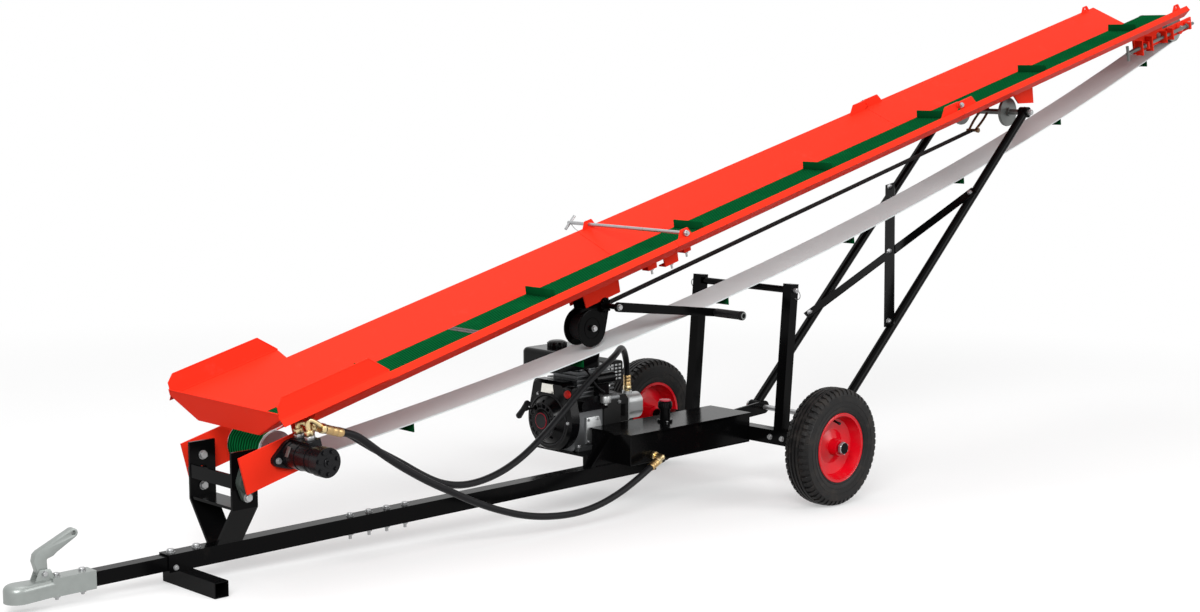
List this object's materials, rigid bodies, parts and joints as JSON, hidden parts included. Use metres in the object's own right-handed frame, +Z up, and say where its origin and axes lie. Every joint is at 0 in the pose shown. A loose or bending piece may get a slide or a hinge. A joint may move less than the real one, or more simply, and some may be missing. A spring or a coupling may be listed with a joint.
{
  "type": "firewood conveyor",
  "caption": "Towable inclined belt conveyor with a feed hopper, folding trough, cleated belt, hydraulic drive from a small engine, and winch-raised support legs.",
  "frame": {"origin": "on the ground under the middle of the parked machine's length and width", "axes": "+X towards the discharge end, +Y to the side of the engine, +Z up"},
  "size_m": [5.6872, 0.994, 1.8269],
  "materials": {
    "red_paint": "gloss paint",
    "black_paint": "satin paint",
    "zinc_steel": "zinc plated",
    "fitting_brass": "yellow zinc",
    "grey_cast_iron": "painted casting",
    "engine_alloy": "cast",
    "engine_black": "moulded",
    "black_casting": "heat-proof black",
    "tyre_rubber": "ribbed",
    "hose_rubber": "smooth",
    "green_belt": "ribbed top cover",
    "strap_webbing": "woven"
  },
  "bodies": {
    "chassis": {"coupling_head": "zinc_steel", "coupling_lever": "zinc_steel", "drawbar_stub": "black_paint", "drawbar_front": "black_paint", "drawbar_rear": "black_paint", "parking_foot": "black_paint", "pivot_bracket": "black_paint", "pivot_bearings": "grey_cast_iron", "oil_tank": "black_paint", "tank_filler": "engine_black", "engine_deck": "black_paint", "engine_block": "engine_alloy", "blower_housing": "engine_black", "fuel_tank": "engine_black", "muffler": "black_casting", "carburettor": "engine_black", "starter_handle": "engine_black", "bell_housing": "black_casting", "gear_pump": "engine_alloy", "chassis_fittings": "fitting_brass", "axle_beam": "black_paint", "posts": "black_paint", "post_crossbar": "black_paint", "leg_pivot_shaft": "zinc_steel", "hose_pressure": "hose_rubber", "hose_return": "hose_rubber"},
    "wheel_left": {"tyre_left": "tyre_rubber", "rim_left": "red_paint"},
    "wheel_right": {"tyre_right": "tyre_rubber", "rim_right": "red_paint"},
    "conveyor": {"trough_lower": "red_paint", "trough_middle": "red_paint", "hopper_guards": "red_paint", "splice_plates": "red_paint", "drum_side_plates": "red_paint", "drive_drum": "zinc_steel", "hydraulic_motor": "grey_cast_iron", "motor_fittings": "fitting_brass", "conveyor_belt": "green_belt", "winch_hanger": "red_paint", "winch_cheeks": "black_paint", "winch_spool": "zinc_steel", "winch_crank": "black_paint", "lift_strap": "strap_webbing", "lock_rod": "zinc_steel"},
    "top_section": {"trough_upper": "red_paint", "top_roller": "zinc_steel", "roller_tensioners": "red_paint"},
    "lift_legs": {"leg_tubes": "black_paint", "leg_brace_low": "black_paint", "leg_brace_high": "black_paint", "leg_top_shaft": "zinc_steel", "strap_shackle": "zinc_steel"}
  },
  "joints": [
    {"name": "wheel_left_spin", "type": "hinge", "parent": "chassis", "child": "wheel_left", "pos_m": [-0.03164, -0.438, 0.2025], "axis": [0, 1, 0], "continuous": true},
    {"name": "wheel_right_spin", "type": "hinge", "parent": "chassis", "child": "wheel_right", "pos_m": [-0.03164, 0.438, 0.2025], "axis": [0, 1, 0], "continuous": true},
    {"name": "trough_tilt", "type": "hinge", "parent": "chassis", "child": "conveyor", "pos_m": [-2.18358, 0, 0.28876], "axis": [0, -1, 0], "range_deg": [0, 11], "deforming": ["lift_strap", "hose_pressure", "hose_return"]},
    {"name": "top_fold", "type": "hinge", "parent": "conveyor", "child": "top_section", "pos_m": [0.92847, 0, 1.37131], "axis": [0, -1, 0], "range_deg": [0, 180], "deforming": ["conveyor_belt"]},
    {"name": "leg_swing", "type": "hinge", "parent": "chassis", "child": "lift_legs", "pos_m": [0.29258, 0, 0.23097], "axis": [0, -1, 0], "range_deg": [0, 30.3]}
  ],
  "couplings": [
    {"joint": "leg_swing", "follows": "trough_tilt", "ratio": 2.75}
  ]
}
